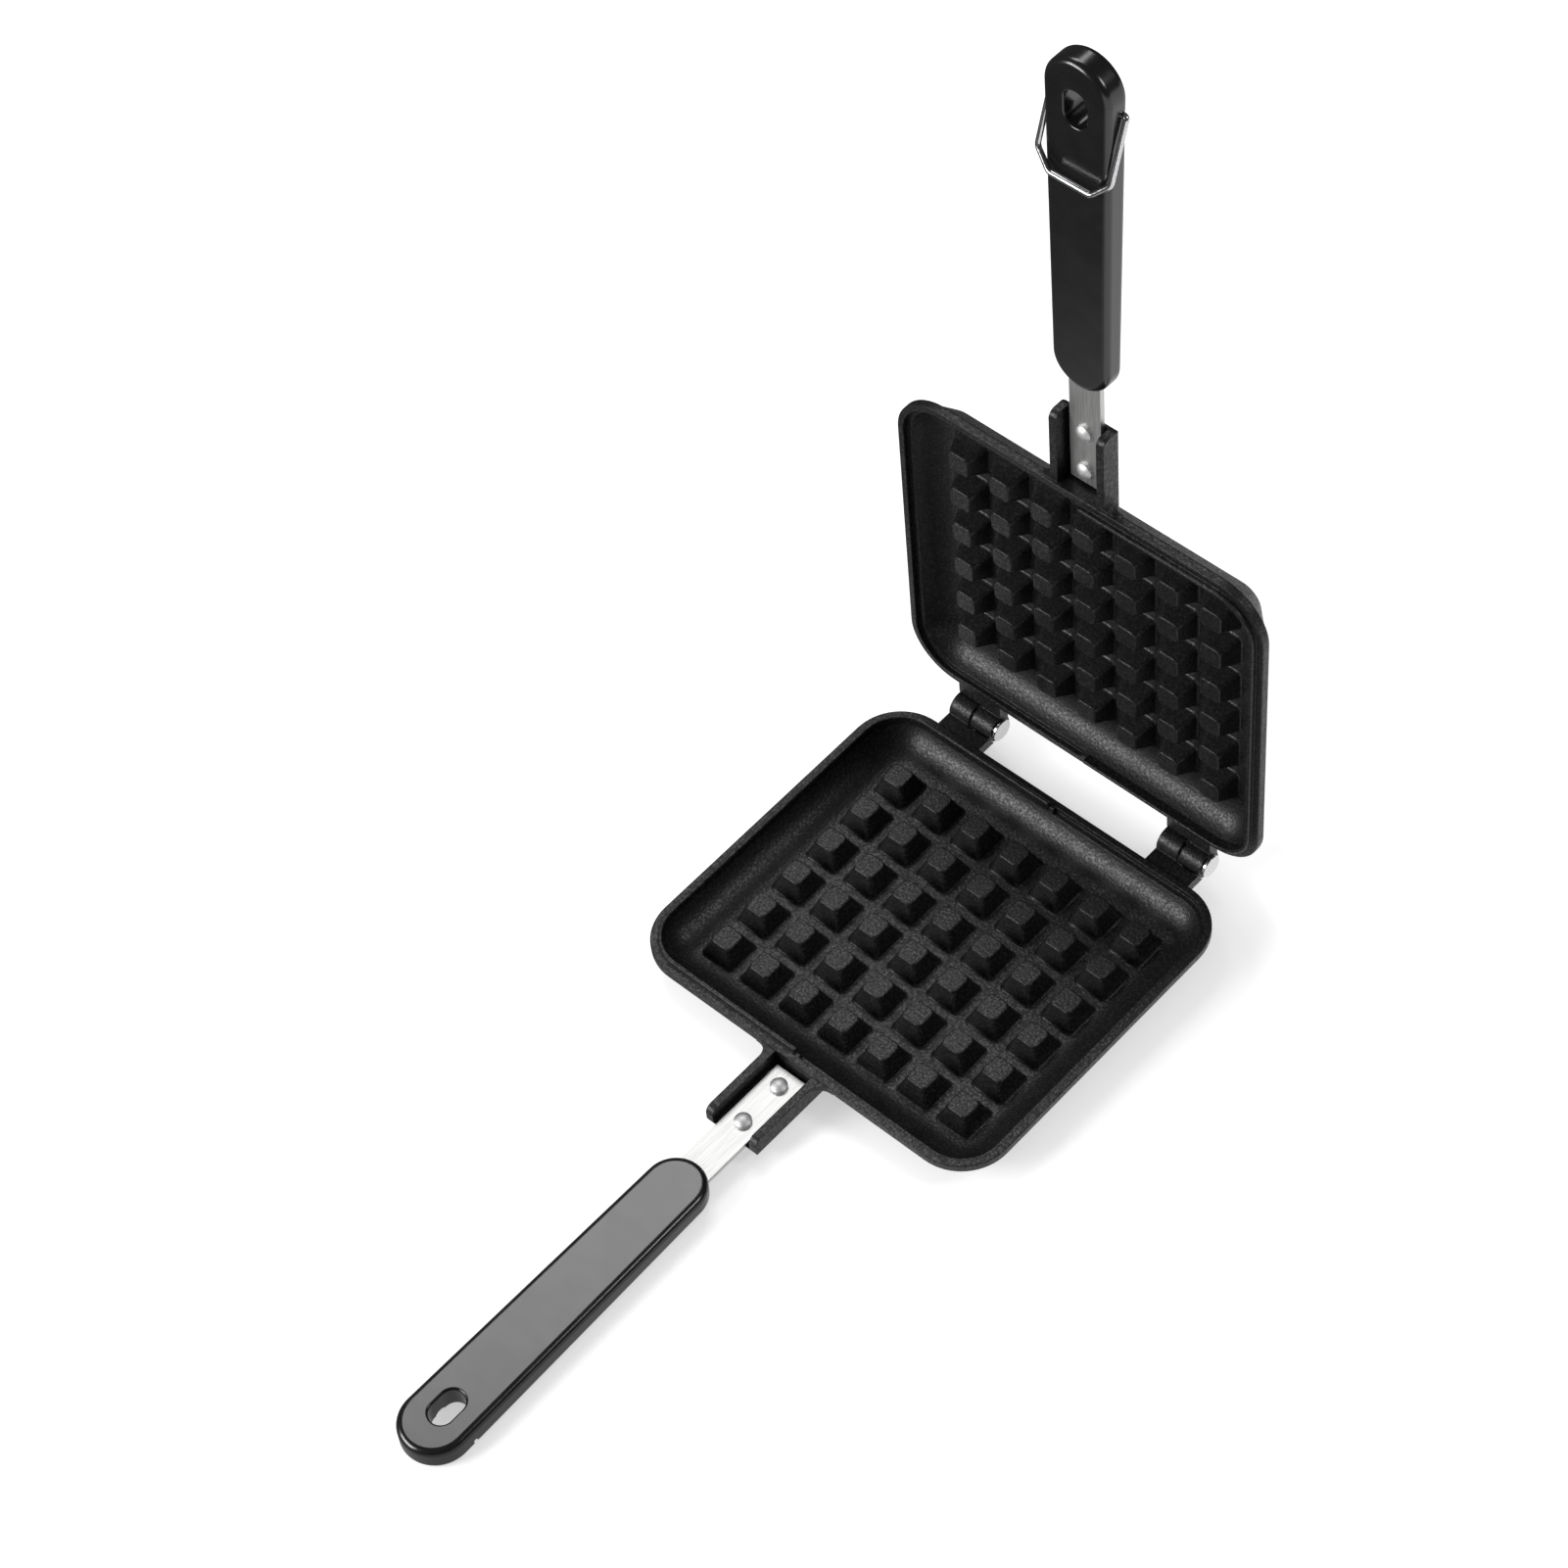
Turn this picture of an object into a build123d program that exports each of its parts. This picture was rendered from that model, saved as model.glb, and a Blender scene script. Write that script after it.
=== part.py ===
from build123d import *

import math
import os

# Stovetop waffle pan: two like castings hinged together, each with a riveted handle, and a wire
# bail on the upper handle. It is drawn open, as it stands with its lid leaning on the hinge stops.
# All sizes are millimetres. The origin is the middle of the lower pan's flat underside, X runs
# along the hinge, Y from the handles to the hinge and Z up.
#
# Each half is drawn in a frame of its own: X along the hinge, Y towards the hinge, Z out of the
# cavity, and Z = 0 at the parting plane, where the halves meet. The upper half's frame is the
# lower one's turned over about Y, then swung open about the hinge.

# Pan bowl
PAN_LENGTH = 156.0
PAN_WIDTH = 140.0
PAN_CORNER = 19.5
PAN_DEPTH = 14.0
BOWL_STEP = 1.5
BASE_INSET = 12.0
BASE_ROUND = 3.5
FLOOR_THICKNESS = 3.0
CAVITY_INSET = 3.2
COVE_RISE = 4.0

# Rim
LIP_HEIGHT = 3.6
LIP_ROUND = 0.8
LAND_DROP = 0.05
LAND_WIDTH = 2.5
REBATE_DEPTH = 2.2
RIM_ROUND = 0.3
TONGUE_GAP = 0.3
TONGUE_WIDTH = 1.6
TONGUE_RISE = 1.8
TONGUE_END = 2.0
TONGUE_ROUND = 0.5
TONGUE_END_ROUND = 0.7

# Studs
STUD_PITCH = 18.0
STUD_BASE = 14.0
STUD_TOP = 8.3
STUD_CORNER = 2.0
STUD_DROP = 3.0
STUD_ROUND = 0.5
STUD_ROOT = 1.1
STUD_FOOT = 1.0
STUD_MARGIN = 16.0

# Hinge
HINGE_REACH = 11.5
BRACKET_FROM_END = 30.5
KNUCKLE_DIAMETER = 10.5
KNUCKLE_LENGTH = 9.0
KNUCKLE_GAP = 1.0
WEB_THICKNESS = 4.8
WEB_DROP = 0.6
RECESS_GAP = 0.6
OPEN_ANGLE = 91.0
STOP_GAP = 0.1
STOP_THICKNESS = 2.2
STOP_HEIGHT = 2.0
STOP_WIDTH = 5.0
PIN_DIAMETER = 5.0
PIN_FIT = 0.05
PIN_HEAD_DIAMETER = 8.5
PIN_HEAD_HEIGHT = 1.3
PIN_HEAD_GAP = 0.2
PIN_ROUND = 0.35
PIN_END = 0.4

# Handle channel, cast on the pan
CHANNEL_WIDTH = 16.6
CHANNEL_WALL = 3.1
CHANNEL_LENGTH = 32.0
CHANNEL_DROP = 1.1
CHANNEL_FLOOR = 2.2
CHANNEL_ROUND = 2.2
CHANNEL_END_ROUND = 3.0
CHANNEL_FLARE = 5.0

# Tang and rivets
TANG_WIDTH = 13.0
TANG_THICKNESS = 2.0
TANG_DROP = 5.8
TANG_GAP = 1.6
TANG_IN_HANDLE = 42.0
NOTCH_WIDTH = 6.0
NOTCH_DEPTH = 2.5
NOTCH_FROM_END = 8.0
RIVET_DIAMETER = 4.0
RIVET_FIT = 0.05
RIVET_HEAD_DIAMETER = 6.2
RIVET_HEAD_HEIGHT = 2.4
RIVET_HEAD_EDGE = 1.2
RIVET_TAIL_DIAMETER = 5.6
RIVET_TAIL_HEIGHT = 1.2
RIVET_FROM_PAN = 8.0
RIVET_SPACING = 18.0

# Handle
HANDLE_FROM_PAN = 48.5
HANDLE_LENGTH = 138.0
HANDLE_NEAR_WIDTH = 22.9
HANDLE_FAR_WIDTH = 25.8
HANDLE_NEAR_DROP = 3.0
HANDLE_FAR_DROP = 4.2
HANDLE_NEAR_THICKNESS = 8.2
HANDLE_FAR_THICKNESS = 9.5
HANDLE_ROUND = 2.4
HOLE_LENGTH = 14.0
HOLE_WIDTH = 9.0
HOLE_FROM_END = 18.5
HOLE_ROUND = 0.8
GROOVE_WIDTH = 5.0
GROOVE_DEPTH = 1.9
GROOVE_FROM_END = 18.5
BORE_DEPTH = 5.0

# Bail
WIRE_DIAMETER = 2.0
WIRE_FIT = 0.05
WIRE_BEND = 1.2
BAIL_SIDE_GAP = 0.3
BAIL_END_GAP = 0.4
BAIL_FROM_END = 17.9
BAIL_PIVOT_DEPTH = 6.9
KNEE_REACH = 23.5
KNEE_ROUND = 3.2
BAR_REACH = 29.8
BAR_LENGTH = 16.4
BAR_ROUND = 2.6
BAIL_REST_ANGLE = 19.4

# Heights closer than this are level, a cut runs this far past what it cuts, and a round stops
# this much short of the corner that it follows
FLAT = 0.001
CUT_MARGIN = 1.0
CORNER_ROOM = 0.5

# Worked out from the sizes above
FLOOR_DEPTH = PAN_DEPTH - FLOOR_THICKNESS
PAN_BACK = PAN_WIDTH / 2
HINGE_Y = PAN_BACK + HINGE_REACH
KNUCKLE_RADIUS = KNUCKLE_DIAMETER / 2
RECESS_RADIUS = KNUCKLE_RADIUS + RECESS_GAP
BRACKET_WIDTH = 2 * KNUCKLE_LENGTH + KNUCKLE_GAP
BRACKET_X = PAN_LENGTH / 2 - BRACKET_FROM_END
ROOT_Y = PAN_BACK - CAVITY_INSET - FLOOR_DEPTH
TANG_START = -PAN_BACK - TANG_GAP
TANG_END = -PAN_BACK - HANDLE_FROM_PAN - TANG_IN_HANDLE
TANG_UNDERSIDE = TANG_DROP + TANG_THICKNESS
CHANNEL_BOTTOM = TANG_UNDERSIDE + CHANNEL_FLOOR
HANDLE_START = -PAN_BACK - HANDLE_FROM_PAN
HANDLE_END = HANDLE_START - HANDLE_LENGTH
HANDLE_NEAR_INSIDE = -HANDLE_NEAR_DROP
HANDLE_FAR_INSIDE = -HANDLE_FAR_DROP
HANDLE_NEAR_OUTSIDE = HANDLE_NEAR_INSIDE - HANDLE_NEAR_THICKNESS
HANDLE_FAR_OUTSIDE = HANDLE_FAR_INSIDE - HANDLE_FAR_THICKNESS
INSIDE_SLOPE = (HANDLE_NEAR_INSIDE - HANDLE_FAR_INSIDE) / HANDLE_LENGTH
OUTSIDE_SLOPE = (HANDLE_NEAR_OUTSIDE - HANDLE_FAR_OUTSIDE) / HANDLE_LENGTH
BORE_END = HANDLE_FAR_WIDTH / 2 - BORE_DEPTH
BAIL_Y = HANDLE_END + BAIL_FROM_END
BAIL_Z = HANDLE_FAR_INSIDE + BAIL_FROM_END * INSIDE_SLOPE - BAIL_PIVOT_DEPTH
RIVET_SPOTS = [
    -PAN_BACK - RIVET_FROM_PAN,
    -PAN_BACK - RIVET_FROM_PAN - RIVET_SPACING,
]

BASE_FRAME = Plane((0, 0, PAN_DEPTH))
LID_FRAME = Plane(
    BASE_FRAME.location
    * Pos(0, HINGE_Y, 0)
    * Rot(-OPEN_ANGLE, 0, 0)
    * Pos(0, -HINGE_Y, 0)
    * Rot(0, 180, 0)
)
HALVES = {"lower": BASE_FRAME, "upper": LID_FRAME}


def seen_in(frame, plane):
    """The plane that stands in a half's own frame as the given one does in the world."""
    return Plane(frame.location * plane.location)


def keep(piece, name):
    """Label a finished piece and write it out."""
    piece.part.label = name
    export_step(piece.part, f"parts/{name}.step")


def rounded_plan(inset, mode=Mode.ADD):
    """The pan's outline, drawn in by an inset all round."""
    RectangleRounded(
        PAN_LENGTH - 2 * inset, PAN_WIDTH - 2 * inset, PAN_CORNER - inset, mode=mode
    )


def stud_count(span):
    """How many studs fit across one inside span of the pan."""
    return 1 + int((span - 2 * STUD_MARGIN - STUD_BASE) // STUD_PITCH)


def out_of(frame):
    """The way out of a half's cavity, to sort its edges by."""
    return Axis(frame.origin, frame.z_dir)


def level_edge(edge):
    """Whether an edge lies flat."""
    return abs((edge @ 1).Z - (edge @ 0).Z) < FLAT


def make_stud():
    """One stud, a blunt pyramid whose rounded root stands on a foot sunk in the floor."""
    height = FLOOR_DEPTH - STUD_DROP
    foot_width = STUD_BASE + 2 * STUD_ROOT
    lean = math.degrees(math.atan2((STUD_BASE - STUD_TOP) / 2, height))
    with BuildPart() as stud:
        with BuildSketch(Plane.XY.offset(-FLOOR_DEPTH)):
            Rectangle(STUD_BASE, STUD_BASE)
        extrude(amount=height, taper=lean)
        sides = stud.edges().filter_by(GeomType.LINE).filter_by(level_edge, reverse=True)
        fillet(sides, STUD_CORNER)
        fillet(stud.edges().group_by(Axis.Z)[-1], STUD_ROUND)
        with BuildSketch(Plane.XY.offset(-FLOOR_DEPTH)):
            Rectangle(foot_width, foot_width)
        extrude(amount=-STUD_FOOT)
        level = stud.edges().filter_by_position(Axis.Z, -FLOOR_DEPTH - FLAT, -FLOOR_DEPTH + FLAT)
        fillet([edge for edge in level if edge.length < STUD_BASE], STUD_ROOT)
    return stud.part


def make_bowl(frame):
    """The outside of the pan under its lip: sloped walls down to the flat base."""
    height = PAN_DEPTH - LIP_HEIGHT
    lean = math.degrees(math.atan2(BASE_INSET - BOWL_STEP, height))
    with BuildPart() as bowl:
        with BuildSketch(frame.offset(-PAN_DEPTH)):
            rounded_plan(BASE_INSET)
        extrude(amount=height, taper=-lean)
        fillet(bowl.edges().group_by(out_of(frame))[0], BASE_ROUND)
    return bowl.part


def make_cavity(frame):
    """The space inside the pan: a flat floor with a cove all round it."""
    cove = min(FLOOR_DEPTH + COVE_RISE, PAN_CORNER - CAVITY_INSET - CORNER_ROOM)
    with BuildPart() as cavity:
        with BuildSketch(frame.offset(-FLOOR_DEPTH)):
            rounded_plan(CAVITY_INSET)
        extrude(amount=FLOOR_DEPTH + COVE_RISE + CUT_MARGIN)
        fillet(cavity.edges().group_by(out_of(frame))[0], cove)
    return cavity.part


def make_lip(frame):
    """The upright band round the rim, with the flat land on top."""
    with BuildPart() as lip:
        with BuildSketch(frame.offset(-LIP_HEIGHT)):
            rounded_plan(0)
        extrude(amount=LIP_HEIGHT - LAND_DROP)
        fillet(lip.edges().group_by(out_of(frame))[0], LIP_ROUND)
        fillet(lip.edges().group_by(out_of(frame))[-1], RIM_ROUND)
    return lip.part


def make_rebate(frame):
    """The step cut inside the land on the +X side, for the other half's tongue."""
    with BuildPart() as rebate:
        with BuildSketch(frame.offset(-REBATE_DEPTH)):
            rounded_plan(LAND_WIDTH)
            split(bisect_by=Plane.YZ, keep=Keep.TOP)
        extrude(amount=REBATE_DEPTH + CUT_MARGIN)
    return rebate.part


def make_tongue(frame):
    """The thin upright ridge on the -X side, which enters the other half's rebate."""
    inset = LAND_WIDTH + TONGUE_GAP
    root = REBATE_DEPTH + RIM_ROUND
    with BuildPart() as tongue:
        with BuildSketch(frame.offset(-root)) as ring:
            rounded_plan(inset)
            rounded_plan(inset + TONGUE_WIDTH, Mode.SUBTRACT)
            split(bisect_by=Plane.YZ.offset(-TONGUE_END), keep=Keep.BOTTOM)
            fillet(ring.vertices().group_by(Axis.X)[-1], TONGUE_END_ROUND)
        extrude(amount=root + TONGUE_RISE)
        fillet(tongue.edges().group_by(out_of(frame))[-1], TONGUE_ROUND)
    return tongue.part


def make_channel(frame):
    """The open channel on the handle side that carries the tang, flared where it meets the lip."""
    outside = CHANNEL_WIDTH + 2 * CHANNEL_WALL
    end = PAN_BACK + CHANNEL_LENGTH
    middle = -(ROOT_Y + end) / 2
    root_width = outside + 2 * (CHANNEL_FLARE + CUT_MARGIN)
    with BuildPart() as channel:
        with BuildSketch(seen_in(frame, Plane.YZ)) as side:
            with Locations((middle, -(CHANNEL_BOTTOM + CHANNEL_DROP) / 2)):
                Rectangle(end - ROOT_Y, CHANNEL_BOTTOM - CHANNEL_DROP)
            fillet(side.vertices().group_by(Axis.X)[0], CHANNEL_END_ROUND)
        extrude(amount=outside / 2, both=True)
        with BuildSketch(seen_in(frame, Plane.XZ)) as section:
            with Locations((0, -CHANNEL_BOTTOM / 2)):
                Rectangle(outside, CHANNEL_BOTTOM)
            fillet(section.vertices().group_by(Axis.Y)[0], CHANNEL_ROUND)
        extrude(amount=end, mode=Mode.INTERSECT)
        with BuildSketch(frame.offset(-LIP_HEIGHT)) as root:
            with Locations((0, -(ROOT_Y + PAN_BACK) / 2)):
                Rectangle(root_width, PAN_BACK - ROOT_Y)
            with Locations((0, -PAN_BACK)):
                Rectangle(outside, 2 * CHANNEL_FLARE + CUT_MARGIN)
            corners = root.vertices().group_by(Axis.Y)[1]
            fillet(corners.sort_by(Axis.X)[1:-1], CHANNEL_FLARE)
        extrude(amount=LIP_HEIGHT - CHANNEL_DROP)
        with BuildSketch(frame.offset(-TANG_UNDERSIDE)):
            with Locations((0, -PAN_BACK - CHANNEL_LENGTH)):
                Rectangle(CHANNEL_WIDTH, 2 * CHANNEL_LENGTH)
        extrude(amount=TANG_UNDERSIDE, mode=Mode.SUBTRACT)
        with BuildSketch(frame.offset(-CHANNEL_BOTTOM)):
            with Locations(*[(0, spot) for spot in RIVET_SPOTS]):
                Circle(RIVET_DIAMETER / 2 + RIVET_FIT)
        extrude(amount=CHANNEL_FLOOR, mode=Mode.SUBTRACT)
    return channel.part


def make_bracket(frame, middle):
    """One hinge bracket: a web across both knuckles, this half's knuckle and its stop lug.

    This half's knuckle is the one on the low side of the bracket's middle. The web goes on past
    it, hollowed to clear the other half's knuckle.
    """
    low_end = middle - BRACKET_WIDTH / 2
    inner_end = low_end + KNUCKLE_LENGTH
    web_height = WEB_THICKNESS - WEB_DROP
    web_middle = (WEB_THICKNESS + WEB_DROP) / 2
    stop_start = WEB_THICKNESS + STOP_GAP
    stop_end = stop_start + STOP_THICKNESS
    stop_top = RECESS_RADIUS + STOP_HEIGHT

    with BuildPart() as bracket:
        with BuildSketch(seen_in(frame, Plane.YZ.offset(low_end))):
            with Locations(((ROOT_Y + HINGE_Y) / 2, -web_middle)):
                Rectangle(HINGE_Y - ROOT_Y, web_height)
            with Locations((HINGE_Y, 0)):
                Circle(KNUCKLE_RADIUS)
        extrude(amount=KNUCKLE_LENGTH)
        with BuildSketch(seen_in(frame, Plane.YZ.offset(inner_end))):
            with Locations(((ROOT_Y + HINGE_Y) / 2, -web_middle)):
                Rectangle(HINGE_Y - ROOT_Y, web_height)
            with Locations((HINGE_Y, 0)):
                Circle(RECESS_RADIUS, mode=Mode.SUBTRACT)
        extrude(amount=BRACKET_WIDTH - KNUCKLE_LENGTH)
        with BuildSketch(seen_in(frame, Plane.YZ.offset(inner_end - STOP_WIDTH))):
            with Locations(Location((HINGE_Y, 0), 90 - OPEN_ANGLE)):
                Polygon(
                    (0, 0),
                    (0, -KNUCKLE_RADIUS),
                    (stop_end, 0),
                    (stop_end, stop_top),
                    (stop_start, stop_top),
                    (stop_start, 0),
                    align=None,
                )
        extrude(amount=STOP_WIDTH)
        with BuildSketch(seen_in(frame, Plane.YZ.offset(low_end))):
            with Locations((HINGE_Y, 0)):
                Circle(PIN_DIAMETER / 2 + PIN_FIT)
        extrude(amount=KNUCKLE_LENGTH, mode=Mode.SUBTRACT)
    return bracket.part


def make_pan(name, frame):
    """One cast half: bowl, rim, studs, hinge brackets and handle channel."""
    bowl = make_bowl(frame)
    lip = make_lip(frame)
    channel = make_channel(frame)
    brackets = [make_bracket(frame, x) for x in (-BRACKET_X, BRACKET_X)]
    cavity = make_cavity(frame)
    rebate = make_rebate(frame)
    tongue = make_tongue(frame)
    stud = make_stud()

    with BuildPart() as pan:
        add(bowl)
        add(lip)
        add(channel)
        add(brackets)
        add(cavity, mode=Mode.SUBTRACT)
        add(rebate, mode=Mode.SUBTRACT)
        add(tongue)
        with Locations(frame):
            with GridLocations(
                STUD_PITCH, STUD_PITCH, stud_count(PAN_LENGTH), stud_count(PAN_WIDTH)
            ):
                add(stud)
    keep(pan, name)


def make_tang(name, frame):
    """The flat steel tang from the channel into the handle, notched where the handle grips it."""
    notch_spot = TANG_END + NOTCH_FROM_END + NOTCH_WIDTH / 2
    with BuildPart() as tang:
        with BuildSketch(frame.offset(-TANG_UNDERSIDE)):
            with Locations((0, (TANG_START + TANG_END) / 2)):
                Rectangle(TANG_WIDTH, TANG_START - TANG_END)
            with Locations((TANG_WIDTH / 2, notch_spot), (-TANG_WIDTH / 2, notch_spot)):
                Rectangle(2 * NOTCH_DEPTH, NOTCH_WIDTH, mode=Mode.SUBTRACT)
            with Locations(*[(0, spot) for spot in RIVET_SPOTS]):
                Circle(RIVET_DIAMETER / 2 + RIVET_FIT, mode=Mode.SUBTRACT)
        extrude(amount=TANG_THICKNESS)
    keep(tang, name)
    return tang.part


def make_rivets(name, frame):
    """The tang's two rivets: a domed head, a shank and a flat formed tail."""
    head = RIVET_HEAD_DIAMETER / 2
    dome = RIVET_HEAD_HEIGHT - RIVET_HEAD_EDGE
    dome_radius = (head**2 + dome**2) / (2 * dome)
    seat = CHANNEL_BOTTOM - TANG_DROP
    top = seat + RIVET_HEAD_HEIGHT
    with BuildPart() as rivets:
        for spot in RIVET_SPOTS:
            side = seen_in(frame, Plane(Pos(0, spot, -CHANNEL_BOTTOM) * Rot(90, 0, 0)))
            with BuildSketch(side):
                with BuildLine():
                    Polyline(
                        (0, top),
                        (0, -RIVET_TAIL_HEIGHT),
                        (RIVET_TAIL_DIAMETER / 2, -RIVET_TAIL_HEIGHT),
                        (RIVET_TAIL_DIAMETER / 2, 0),
                        (RIVET_DIAMETER / 2, 0),
                        (RIVET_DIAMETER / 2, seat),
                        (head, seat),
                        (head, seat + RIVET_HEAD_EDGE),
                    )
                    RadiusArc((head, seat + RIVET_HEAD_EDGE), (0, top), -dome_radius)
                make_face()
            revolve(axis=Axis(side.origin, side.y_dir))
    keep(rivets, name)


def handle_face(frame, near_height, slope):
    """The plane of a handle's sloping inner or outer face."""
    lean = math.degrees(math.atan(slope))
    return seen_in(frame, Plane(Pos(0, HANDLE_START, near_height) * Rot(lean, 0, 0)))


def make_handle(name, frame, tang):
    """A moulded handle, thicker to its far end, with a hanging hole and a cross groove."""
    near_round = HANDLE_NEAR_WIDTH / 2
    far_round = HANDLE_FAR_WIDTH / 2
    inside = handle_face(frame, HANDLE_NEAR_INSIDE, INSIDE_SLOPE)
    outside = handle_face(frame, HANDLE_NEAR_OUTSIDE, OUTSIDE_SLOPE)
    cut_through = HANDLE_FAR_OUTSIDE - CUT_MARGIN
    groove_outside = HANDLE_FAR_OUTSIDE + GROOVE_FROM_END * OUTSIDE_SLOPE
    groove_radius = ((GROOVE_WIDTH / 2) ** 2 + GROOVE_DEPTH**2) / (2 * GROOVE_DEPTH)

    with BuildPart() as handle:
        with BuildSketch(frame):
            with Locations((0, HANDLE_START - near_round)):
                Circle(near_round)
            with Locations((0, HANDLE_END + far_round)):
                Circle(far_round)
            make_hull()
        extrude(amount=cut_through)
        split(bisect_by=inside, keep=Keep.BOTTOM)
        split(bisect_by=outside, keep=Keep.TOP)
        faces = handle.faces().sort_by(out_of(frame))
        fillet(faces[0].edges() + faces[-1].edges(), HANDLE_ROUND)
        with BuildSketch(frame):
            with Locations(Location((0, HANDLE_END + HOLE_FROM_END), 90)):
                SlotOverall(HOLE_LENGTH, HOLE_WIDTH)
        extrude(amount=cut_through, mode=Mode.SUBTRACT)
        rims = [face.inner_wires()[0] for face in handle.faces() if face.inner_wires()]
        fillet([edge for rim in rims for edge in rim.edges()], HOLE_ROUND)
        with BuildSketch(seen_in(frame, Plane.YZ)):
            with Locations(
                (HANDLE_END + GROOVE_FROM_END, groove_outside - groove_radius + GROOVE_DEPTH)
            ):
                Circle(groove_radius)
        extrude(amount=HANDLE_FAR_WIDTH, both=True, mode=Mode.SUBTRACT)
        for way in (-1, 1):
            with BuildSketch(seen_in(frame, Plane.YZ.offset(way * BORE_END))):
                with Locations((BAIL_Y, BAIL_Z)):
                    Circle(WIRE_DIAMETER / 2 + WIRE_FIT)
            extrude(amount=way * (BORE_DEPTH + CUT_MARGIN), mode=Mode.SUBTRACT)
        add(tang, mode=Mode.SUBTRACT)
    keep(handle, name)


def make_pin(name, middle):
    """A hinge pin along X, its flat head beyond the upper half's knuckle."""
    head_start = middle + BRACKET_WIDTH / 2 + PIN_HEAD_GAP
    tail = middle - BRACKET_WIDTH / 2 - PIN_END
    with BuildPart() as pin:
        with BuildSketch(Plane.YZ.offset(tail)):
            with Locations((HINGE_Y, PAN_DEPTH)):
                Circle(PIN_DIAMETER / 2)
        extrude(amount=head_start - tail)
        with BuildSketch(Plane.YZ.offset(head_start)):
            with Locations((HINGE_Y, PAN_DEPTH)):
                Circle(PIN_HEAD_DIAMETER / 2)
        extrude(amount=PIN_HEAD_HEIGHT)
        fillet(pin.edges().group_by(Axis.X)[-1], PIN_ROUND)
        chamfer(pin.edges().group_by(Axis.X)[0], PIN_END / 2)
    keep(pin, name)


def make_bail(name, frame):
    """The wire bail, a bent loop whose two ends turn into the upper handle's side holes."""
    arm_x = HANDLE_FAR_WIDTH / 2 + BAIL_SIDE_GAP + WIRE_DIAMETER / 2
    end_x = BORE_END + BAIL_END_GAP
    swing = seen_in(frame, Plane(Pos(0, BAIL_Y, BAIL_Z) * Rot(BAIL_REST_ANGLE, 0, 0)))
    with BuildPart() as bail:
        with BuildLine(swing) as wire:
            FilletPolyline(
                (end_x, 0),
                (arm_x, 0),
                (arm_x, KNEE_REACH),
                (BAR_LENGTH / 2, BAR_REACH),
                (-BAR_LENGTH / 2, BAR_REACH),
                (-arm_x, KNEE_REACH),
                (-arm_x, 0),
                (-end_x, 0),
                radius=[WIRE_BEND, KNEE_ROUND, BAR_ROUND, BAR_ROUND, KNEE_ROUND, WIRE_BEND],
            )
        with BuildSketch(seen_in(frame, Plane(Pos(end_x, BAIL_Y, BAIL_Z) * Rot(0, 90, 0)))):
            Circle(WIRE_DIAMETER / 2)
        sweep(path=wire.wire())
    keep(bail, name)


os.makedirs("parts", exist_ok=True)
for side, half_frame in HALVES.items():
    make_pan(f"{side}_pan", half_frame)
    side_tang = make_tang(f"{side}_tang", half_frame)
    make_rivets(f"{side}_rivets", half_frame)
    make_handle(f"{side}_handle", half_frame, side_tang)
make_pin("hinge_pin_left", -BRACKET_X)
make_pin("hinge_pin_right", BRACKET_X)
make_bail("latch_bail", LID_FRAME)
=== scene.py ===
import logging
import math
from abc import ABC, abstractmethod
from dataclasses import dataclass, field
from enum import Enum

import bpy
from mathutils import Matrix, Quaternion, Vector

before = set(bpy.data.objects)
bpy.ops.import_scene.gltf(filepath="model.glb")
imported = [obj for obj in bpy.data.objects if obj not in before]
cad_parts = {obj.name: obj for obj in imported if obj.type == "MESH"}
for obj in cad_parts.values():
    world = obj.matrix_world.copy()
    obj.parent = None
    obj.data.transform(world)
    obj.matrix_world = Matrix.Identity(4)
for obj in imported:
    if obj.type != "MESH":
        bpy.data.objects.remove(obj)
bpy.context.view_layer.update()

LOG = logging.getLogger("waffle_pan")

MM = 0.001
BLACK = "#000000"
WHITE = "#ffffff"
WHOLE = (0.0, 1.0)

# Where a Mix node keeps its sockets for colours, after those for numbers and vectors.
MIX_FACTOR = 0
MIX_FIRST = 6
MIX_SECOND = 7
MIX_RESULT = 2

Span = tuple[float, float]
Triple = tuple[float, float, float]


class Axis(Enum):
    """An axis of the world, as its index in a vector."""

    X = 0
    Y = 1
    Z = 2


def linear(hex_colour: str) -> tuple[float, float, float, float]:
    """Turn a colour written as sRGB hex into the linear values that shaders take.

    Args:
        hex_colour: Six hex digits, with or without a leading hash.

    Returns:
        Red, green, blue and an alpha of one.
    """
    digits = hex_colour.lstrip("#")
    channels = [int(digits[i : i + 2], 16) / 255 for i in (0, 2, 4)]
    # The sRGB curve, which is straight near black and a power above it.
    red, green, blue = (
        c / 12.92 if c <= 0.04045 else ((c + 0.055) / 1.055) ** 2.4 for c in channels
    )
    return red, green, blue, 1.0


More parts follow.
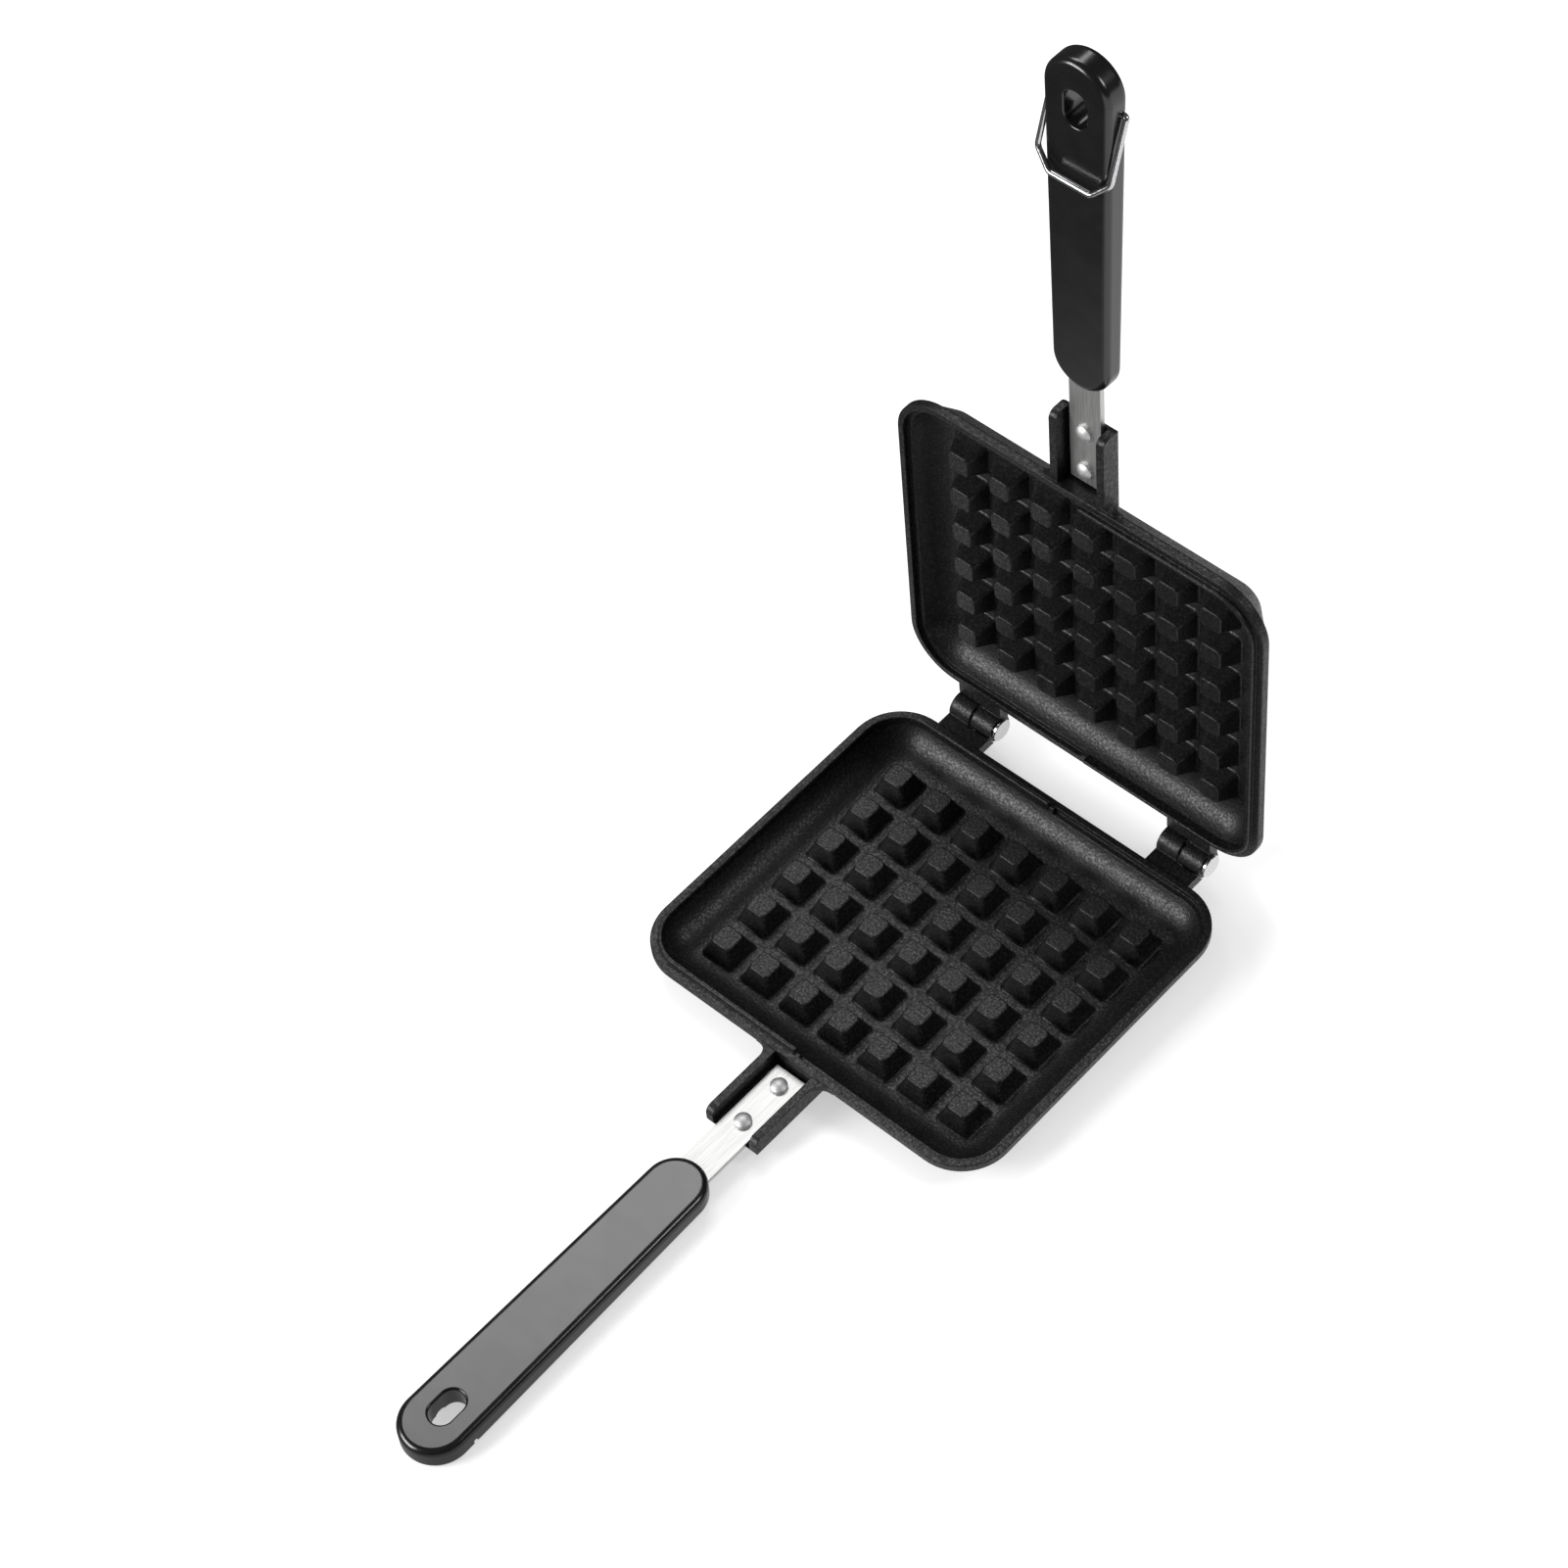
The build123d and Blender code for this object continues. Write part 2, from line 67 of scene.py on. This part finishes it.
class NodeTree:
    """A material's or the world's node tree, emptied and ready to be filled."""

    def __init__(self, tree: bpy.types.NodeTree) -> None:
        """Empty the tree.

        Args:
            tree: The tree of a material or the world that uses nodes.
        """
        self.tree = tree
        tree.nodes.clear()

    def add(self, kind: str, inputs: dict | None = None, **settings: object) -> bpy.types.Node:
        """Add a node with its settings, its inputs' values and the links into it.

        Args:
            kind: The node's type, such as ShaderNodeBump.
            inputs: Input name or index to a plain value, or to another node's output socket.
            **settings: The node's own properties.

        Returns:
            The new node.
        """
        node = self.tree.nodes.new(kind)
        for name, value in settings.items():
            setattr(node, name, value)
        for key, value in (inputs or {}).items():
            if isinstance(value, bpy.types.NodeSocket):
                self.tree.links.new(value, node.inputs[key])
            else:
                node.inputs[key].default_value = value
        return node

    def place(self) -> bpy.types.NodeSocket:
        """Read where each point of the surface is.

        Returns:
            The output with its coordinates in metres.
        """
        return self.add("ShaderNodeTexCoord").outputs["Object"]

    def noise(
        self,
        place: bpy.types.NodeSocket,
        size_mm: float,
        detail: float,
        stir: float = 0.0,
    ) -> bpy.types.NodeSocket:
        """Add a soft random pattern whose marks have a real size.

        Args:
            place: The coordinates that it is laid on.
            size_mm: How large its marks are.
            detail: How many finer layers it has.
            stir: How far its marks are stirred into each other.

        Returns:
            The value output.
        """
        node = self.add(
            "ShaderNodeTexNoise",
            {
                "Vector": place,
                "Scale": 1.0 / (size_mm * MM),
                "Detail": detail,
                "Distortion": stir,
            },
        )
        return node.outputs["Fac"]

    def blend(
        self, source: bpy.types.NodeSocket, span: Span, start: str, end: str
    ) -> bpy.types.NodeSocket:
        """Turn a value into a colour between two.

        Args:
            source: The value to read.
            span: The values at which the first colour ends and the second begins.
            start: The first colour, as sRGB hex.
            end: The second colour, as sRGB hex.

        Returns:
            The colour output.
        """
        node = self.add("ShaderNodeValToRGB", {"Fac": source})
        for element, position, colour in zip(node.color_ramp.elements, span, (start, end)):
            element.position = position
            element.color = linear(colour)
        return node.outputs["Color"]

    def spread(
        self, source: bpy.types.NodeSocket, span: Span, result: Span
    ) -> bpy.types.NodeSocket:
        """Spread one range of a value over another, level past its ends.

        Args:
            source: The value to read.
            span: The range that it is read over.
            result: What the start and the end of that range become.

        Returns:
            The value output.
        """
        node = self.add(
            "ShaderNodeMapRange",
            {
                "Value": source,
                "From Min": span[0],
                "From Max": span[1],
                "To Min": result[0],
                "To Max": result[1],
            },
        )
        return node.outputs["Result"]

    def bump(
        self, pattern: bpy.types.NodeSocket, height_mm: float, strength: float
    ) -> bpy.types.Node:
        """Raise a pattern a little out of the surface.

        Args:
            pattern: The pattern's value.
            height_mm: How high its highest marks stand.
            strength: How much of that height is used.

        Returns:
            The node, whose Normal input can take a softened edge.
        """
        return self.add(
            "ShaderNodeBump",
            {"Height": pattern, "Strength": strength, "Distance": height_mm * MM},
        )

    def by_ray(
        self,
        ray: bpy.types.NodeSocket,
        others: bpy.types.NodeSocket,
        chosen: bpy.types.NodeSocket,
    ) -> bpy.types.NodeSocket:
        """Give one kind of ray a shader of its own.

        Args:
            ray: The output that is 1 for that kind of ray.
            others: The shader for every other ray.
            chosen: The shader for that kind of ray.

        Returns:
            The shader output.
        """
        return self.add("ShaderNodeMixShader", {0: ray, 1: others, 2: chosen}).outputs[0]


@dataclass(frozen=True)
class Finish(ABC):
    """What a surface is made of."""

    name: str

    def build(self) -> bpy.types.Material:
        """Make the material.

        Returns:
            The finished material.
        """
        material = bpy.data.materials.new(self.name)
        material.use_nodes = True
        nodes = NodeTree(material.node_tree)
        nodes.add("ShaderNodeOutputMaterial", {"Surface": self.surface(nodes)})
        return material

    @abstractmethod
    def surface(self, nodes: NodeTree) -> bpy.types.NodeSocket:
        """Fill the material's tree.

        Args:
            nodes: The empty tree.

        Returns:
            The shader output.
        """


@dataclass(frozen=True)
class CastCoating(Finish):
    """Die-cast aluminium under a sprayed, nearly black non-stick coating, baked satin.

    The spray dries to a fine grain that glitters where it faces a lamp, with paler and glossier
    specks in it. Its colour drifts a little where it went on thicker, and it rounds the edges.
    """

    name: str = "nonstick_cast_aluminium"
    thick: str = "#0b0b0c"
    thin: str = "#0f0f10"
    drift_mm: float = 9.0
    drift_detail: float = 4.0
    drift_span: Span = (0.35, 0.65)
    fleck: str = "#262628"
    fleck_mm: float = 0.85
    fleck_detail: float = 2.0
    fleck_span: Span = (0.48, 0.62)
    grain_mm: float = 1.1
    grain_detail: float = 2.0
    grain_height_mm: float = 0.16
    grain_strength: float = 1.0
    soft_edge_mm: float = 0.6
    soft_edge_samples: int = 4
    plain_roughness: float = 0.52
    fleck_roughness: float = 0.32
    roughness_span: Span = (0.35, 0.65)
    ior: float = 1.5
    gloss_level: float = 0.39

    def surface(self, nodes: NodeTree) -> bpy.types.NodeSocket:
        """Fill the material's tree.

        Args:
            nodes: The empty tree.

        Returns:
            The shader output.
        """
        place = nodes.place()
        drift = nodes.noise(place, self.drift_mm, self.drift_detail)
        fleck = nodes.noise(place, self.fleck_mm, self.fleck_detail)
        grain = nodes.noise(place, self.grain_mm, self.grain_detail)
        colour = nodes.add(
            "ShaderNodeMix",
            {
                MIX_FACTOR: nodes.blend(fleck, self.fleck_span, BLACK, WHITE),
                MIX_FIRST: nodes.blend(drift, self.drift_span, self.thick, self.thin),
                MIX_SECOND: linear(self.fleck),
            },
            data_type="RGBA",
        )
        soft_edge = nodes.add(
            "ShaderNodeBevel",
            {"Radius": self.soft_edge_mm * MM},
            samples=self.soft_edge_samples,
        )
        bump = nodes.bump(grain, self.grain_height_mm, self.grain_strength)
        nodes.tree.links.new(soft_edge.outputs["Normal"], bump.inputs["Normal"])
        roughness = (self.plain_roughness, self.fleck_roughness)
        shader = nodes.add(
            "ShaderNodeBsdfPrincipled",
            {
                "Base Color": colour.outputs[MIX_RESULT],
                "Roughness": nodes.spread(fleck, self.roughness_span, roughness),
                "Normal": bump.outputs["Normal"],
                "IOR": self.ior,
                "Specular IOR Level": self.gloss_level,
            },
        )
        return shader.outputs["BSDF"]


@dataclass(frozen=True)
class MouldedPhenolic(Finish):
    """Black phenolic plastic, compression moulded.

    The mould leaves it glossy, with soft reflections and faint flow marks.
    """

    name: str = "black_phenolic"
    deep: str = "#131313"
    pale: str = "#1a1a1a"
    flow_mm: float = 14.0
    flow_detail: float = 5.0
    flow_stir: float = 1.2
    flow_span: Span = (0.3, 0.7)
    grain_mm: float = 0.6
    grain_detail: float = 2.0
    grain_height_mm: float = 0.004
    grain_strength: float = 0.4
    roughness: Span = (0.17, 0.24)
    ior: float = 1.6

    def surface(self, nodes: NodeTree) -> bpy.types.NodeSocket:
        """Fill the material's tree.

        Args:
            nodes: The empty tree.

        Returns:
            The shader output.
        """
        place = nodes.place()
        flow = nodes.noise(place, self.flow_mm, self.flow_detail, self.flow_stir)
        grain = nodes.noise(place, self.grain_mm, self.grain_detail)
        bump = nodes.bump(grain, self.grain_height_mm, self.grain_strength)
        shader = nodes.add(
            "ShaderNodeBsdfPrincipled",
            {
                "Base Color": nodes.blend(flow, self.flow_span, self.deep, self.pale),
                "Roughness": nodes.spread(flow, WHOLE, self.roughness),
                "Normal": bump.outputs["Normal"],
                "IOR": self.ior,
            },
        )
        return shader.outputs["BSDF"]


@dataclass(frozen=True)
class BareMetal(Finish):
    """Bare metal with the faint marks of how it was headed, turned or drawn.

    The marks blur what it mirrors, the most on the rivets and the least on the wire.
    """

    dull: str
    bright: str
    roughness: Span
    mark_mm: float
    mark_height_mm: float
    mark_detail: float = 3.0
    mark_strength: float = 0.3
    mark_span: Span = (0.3, 0.7)

    def mark_place(self, nodes: NodeTree) -> bpy.types.NodeSocket:
        """Lay the marks out evenly.

        Args:
            nodes: The material's tree.

        Returns:
            The coordinates that they are laid on.
        """
        return nodes.place()

    def surface(self, nodes: NodeTree) -> bpy.types.NodeSocket:
        """Fill the material's tree.

        Args:
            nodes: The empty tree.

        Returns:
            The shader output.
        """
        marks = nodes.noise(self.mark_place(nodes), self.mark_mm, self.mark_detail)
        bump = nodes.bump(marks, self.mark_height_mm, self.mark_strength)
        shader = nodes.add(
            "ShaderNodeBsdfPrincipled",
            {
                "Base Color": nodes.blend(marks, self.mark_span, self.dull, self.bright),
                "Metallic": 1.0,
                "Roughness": nodes.spread(marks, WHOLE, self.roughness),
                "Normal": bump.outputs["Normal"],
            },
        )
        return shader.outputs["BSDF"]


@dataclass(frozen=True)
class RolledSteel(BareMetal):
    """Cold rolled steel strip, whose rolling leaves fine streaks along its length."""

    name: str = "rolled_steel"
    dull: str = "#c0c0bf"
    bright: str = "#e4e4e3"
    roughness: Span = (0.4, 0.5)
    mark_mm: float = 0.4
    mark_height_mm: float = 0.01
    mark_detail: float = 4.0
    mark_strength: float = 0.15
    along: Axis = Axis.Y
    stretch: float = 0.03

    def mark_place(self, nodes: NodeTree) -> bpy.types.NodeSocket:
        """Draw the marks out along the strip.

        Args:
            nodes: The material's tree.

        Returns:
            The coordinates that they are laid on.
        """
        scale = [1.0] * len(Axis)
        scale[self.along.value] = self.stretch
        drawn = nodes.add("ShaderNodeMapping", {"Vector": nodes.place(), "Scale": scale})
        return drawn.outputs["Vector"]


@dataclass(frozen=True)
class StudioFloor(Finish):
    """Seamless white paper, which is white to the camera and keeps a soft shadow.

    It is lifted more with distance, which keeps the far paper white in low views. What the pan
    mirrors is not the lit paper but a glow with painted light and shade: a painted reflection
    that is bright on the right, and painted dim on the left and far behind on the left. The
    fields that end in _span are in metres over the floor, from its middle.
    """

    name: str = "studio_floor"
    paper: str = "#e4e4e4"
    lift: Span = (0.5, 0.8)
    lift_span: Span = (0.5, 1.8)
    # Painted reflection: the glow levels, dim to bright, that glossy rays see on the floor.
    painted_reflection: Span = (0.06, 1.05)
    right_way: Triple = (0.9, 0.45, 0.0)
    right_span: Span = (-0.22, 0.08)
    front_way: Triple = (0.8, -0.6, 0.0)
    front_span: Span = (-0.48, -0.15)

    def surface(self, nodes: NodeTree) -> bpy.types.NodeSocket:
        """Fill the material's tree.

        Args:
            nodes: The empty tree.

        Returns:
            The shader output.
        """
        path = nodes.add("ShaderNodeLightPath")
        place = nodes.place()
        paper = nodes.add("ShaderNodeBsdfDiffuse", {"Color": linear(self.paper)}).outputs[0]
        away = nodes.add("ShaderNodeVectorMath", {0: place}, operation="LENGTH")
        rise = nodes.spread(away.outputs["Value"], self.lift_span, self.lift)
        lift = nodes.add("ShaderNodeEmission", {"Strength": rise}).outputs[0]
        lit = nodes.add("ShaderNodeAddShader", {0: paper, 1: lift}).outputs[0]
        seen = nodes.by_ray(path.outputs["Is Camera Ray"], paper, lit)
        # Painted light and shade for glossy rays: the floor glows brighter towards the right and
        # front, in place of the lit paper.
        right = self.ramp_along(nodes, place, self.right_way, self.right_span)
        front = self.ramp_along(nodes, place, self.front_way, self.front_span)
        both = nodes.add("ShaderNodeMath", {0: right, 1: front}, operation="MULTIPLY")
        level = nodes.spread(both.outputs["Value"], WHOLE, self.painted_reflection)
        # Painted reflection: an emission that glossy rays see instead of the paper.
        painted_reflection = nodes.add("ShaderNodeEmission", {"Strength": level}).outputs[0]
        return nodes.by_ray(path.outputs["Is Glossy Ray"], seen, painted_reflection)

    def ramp_along(
        self, nodes: NodeTree, place: bpy.types.NodeSocket, way: Triple, span: Span
    ) -> bpy.types.NodeSocket:
        """Rise from 0 to 1 along a way over the floor.

        Args:
            nodes: The material's tree.
            place: The floor's coordinates.
            way: The direction to go in.
            span: Where the rise starts and ends.

        Returns:
            The value output.
        """
        gone = nodes.add("ShaderNodeVectorMath", {0: place, 1: way}, operation="DOT_PRODUCT")
        return nodes.spread(gone.outputs["Value"], span, WHOLE)


def dress(node: str, material: bpy.types.Material) -> None:
    """Give a carried-over piece its finish.

    Args:
        node: The piece's name.
        material: The finish, put in every slot.
    """
    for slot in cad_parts[node].material_slots:
        slot.material = material
    LOG.info("dressed %s in %s", node, material.name)


@dataclass
class Castings:
    """The two cast pans, alike and hinged together."""

    nodes: tuple[str, ...] = ("lower_pan", "upper_pan")
    coating: CastCoating = CastCoating()

    def build(self) -> None:
        """Coat both pans."""
        material = self.coating.build()
        for node in self.nodes:
            dress(node, material)


@dataclass
class Handles:
    """The moulded handles with the steel tangs and rivets that carry them."""

    plastic: MouldedPhenolic = MouldedPhenolic()
    lower_steel: RolledSteel = RolledSteel(name="rolled_steel_y", along=Axis.Y)
    upper_steel: RolledSteel = RolledSteel(name="rolled_steel_z", along=Axis.Z)
    rivet: BareMetal = BareMetal(
        name="rivet_aluminium",
        dull="#dcdcdc",
        bright="#f0f0f0",
        roughness=(0.5, 0.6),
        mark_mm=0.8,
        mark_height_mm=0.02,
    )

    def build(self) -> None:
        """Dress the handles, tangs and rivets."""
        plastic = self.plastic.build()
        rivet = self.rivet.build()
        for side, steel in (("lower", self.lower_steel), ("upper", self.upper_steel)):
            dress(f"{side}_handle", plastic)
            dress(f"{side}_tang", steel.build())
            dress(f"{side}_rivets", rivet)


@dataclass
class HingePins:
    """The two headed pins that the lid turns on."""

    nodes: tuple[str, ...] = ("hinge_pin_left", "hinge_pin_right")
    steel: BareMetal = BareMetal(
        name="turned_steel",
        dull="#c4c4c4",
        bright="#e2e2e2",
        roughness=(0.18, 0.3),
        mark_mm=0.5,
        mark_height_mm=0.01,
    )

    def build(self) -> None:
        """Dress the pins."""
        material = self.steel.build()
        for node in self.nodes:
            dress(node, material)


@dataclass
class Bail:
    """The wire bail on the upper handle."""

    node: str = "latch_bail"
    wire: BareMetal = BareMetal(
        name="drawn_wire",
        dull="#bcbcbe",
        bright="#e0e0e2",
        roughness=(0.12, 0.24),
        mark_mm=0.6,
        mark_height_mm=0.01,
    )

    def build(self) -> None:
        """Dress the bail."""
        dress(self.node, self.wire.build())


@dataclass(frozen=True)
class Lamp:
    """A soft rectangular lamp.

    Its place, width and height are in metres. Its brightness is how bright its face looks,
    where 1 is white.
    """

    name: str
    place: Triple
    width: float
    height: float
    brightness: float

    def hang(self, aim: Vector) -> None:
        """Hang the lamp so that it faces a point.

        Args:
            aim: The point.
        """
        light = bpy.data.lights.new(self.name, "AREA")
        light.shape = "RECTANGLE"
        light.size = self.width
        light.size_y = self.height
        light.energy = self.brightness * math.pi * self.width * self.height
        lamp = bpy.data.objects.new(self.name, light)
        bpy.context.scene.collection.objects.link(lamp)
        lamp.location = self.place
        lamp.visible_camera = False
        lamp.rotation_mode = "QUATERNION"
        lamp.rotation_quaternion = (aim - Vector(self.place)).to_track_quat("-Z", "Y")


@dataclass
class Studio:
    """The floor, soft lamps, world and camera.

    Places and the floor's size are in metres, the lens and sensor in millimetres and the roll
    in degrees. A level of 1 is white.
    """

    floor_size: float = 16.0
    lamps: tuple[Lamp, ...] = (
        Lamp("key", (-0.71, 0.5, 1.45), width=0.95, height=0.5, brightness=5.2),
        Lamp("front_left", (-0.72, -1.2, 0.67), width=0.9, height=0.6, brightness=12.0),
        Lamp("right", (0.97, 0.5, 1.1), width=0.4, height=0.4, brightness=8.0),
    )
    lamp_aim: Vector = field(default_factory=lambda: Vector((0.0, 0.0, 0.1)))
    camera_place: Vector = field(default_factory=lambda: Vector((0.6196, -0.6114, 1.2499)))
    camera_aim: Vector = field(default_factory=lambda: Vector((-0.0327, -0.0285, 0.1)))
    camera_roll: float = -7.554
    focal_length: float = 100.76
    sensor_width: float = 36.0
    room_level: float = 0.35
    flag_level: float = 0.06
    backdrop_level: float = 1.0

    def build(self) -> None:
        """Set up everything that isn't the object."""
        self.lay_floor()
        self.light_world()
        for lamp in self.lamps:
            lamp.hang(self.lamp_aim)
        self.place_camera()

    def lay_floor(self) -> None:
        """Lay the seamless floor that the pan stands on."""
        half = self.floor_size / 2
        mesh = bpy.data.meshes.new("studio_floor")
        corners = [(-half, -half, 0), (half, -half, 0), (half, half, 0), (-half, half, 0)]
        mesh.from_pydata(corners, [], [(0, 1, 2, 3)])
        floor = bpy.data.objects.new("studio_floor", mesh)
        bpy.context.scene.collection.objects.link(floor)
        mesh.materials.append(StudioFloor().build())

    def light_world(self) -> None:
        """Fill the room with even soft light, which black flags keep out of the reflections."""
        world = bpy.data.worlds.new("studio")
        bpy.context.scene.world = world
        world.use_nodes = True
        nodes = NodeTree(world.node_tree)
        path = nodes.add("ShaderNodeLightPath")
        white = linear(WHITE)
        room, flags, backdrop = (
            nodes.add("ShaderNodeBackground", {"Color": white, "Strength": level}).outputs[0]
            for level in (self.room_level, self.flag_level, self.backdrop_level)
        )
        flagged = nodes.by_ray(path.outputs["Is Glossy Ray"], room, flags)
        seen = nodes.by_ray(path.outputs["Is Camera Ray"], flagged, backdrop)
        nodes.add("ShaderNodeOutputWorld", {"Surface": seen})

    def place_camera(self) -> None:
        """Put the camera at the photograph's viewing angle."""
        data = bpy.data.cameras.new("camera")
        data.lens = self.focal_length
        data.sensor_width = self.sensor_width
        camera = bpy.data.objects.new("camera", data)
        bpy.context.scene.collection.objects.link(camera)
        camera.location = self.camera_place
        look = (self.camera_aim - self.camera_place).to_track_quat("-Z", "Y")
        roll = Quaternion((0, 0, 1), math.radians(self.camera_roll))
        camera.rotation_mode = "QUATERNION"
        camera.rotation_quaternion = look @ roll
        bpy.context.scene.camera = camera


def main() -> None:
    """Build the studio and dress every piece of the pan."""
    logging.basicConfig(level=logging.INFO, format="%(name)s: %(message)s")
    bpy.context.scene.view_settings.view_transform = "Standard"
    # Off, so that light thrown on by bright metal doesn't add to the speckle on the handle's end.
    bpy.context.scene.cycles.caustics_reflective = False
    Studio().build()
    for assembly in (Castings(), Handles(), HingePins(), Bail()):
        assembly.build()
        LOG.info("built %s", type(assembly).__name__)


if __name__ == "__main__":
    main()
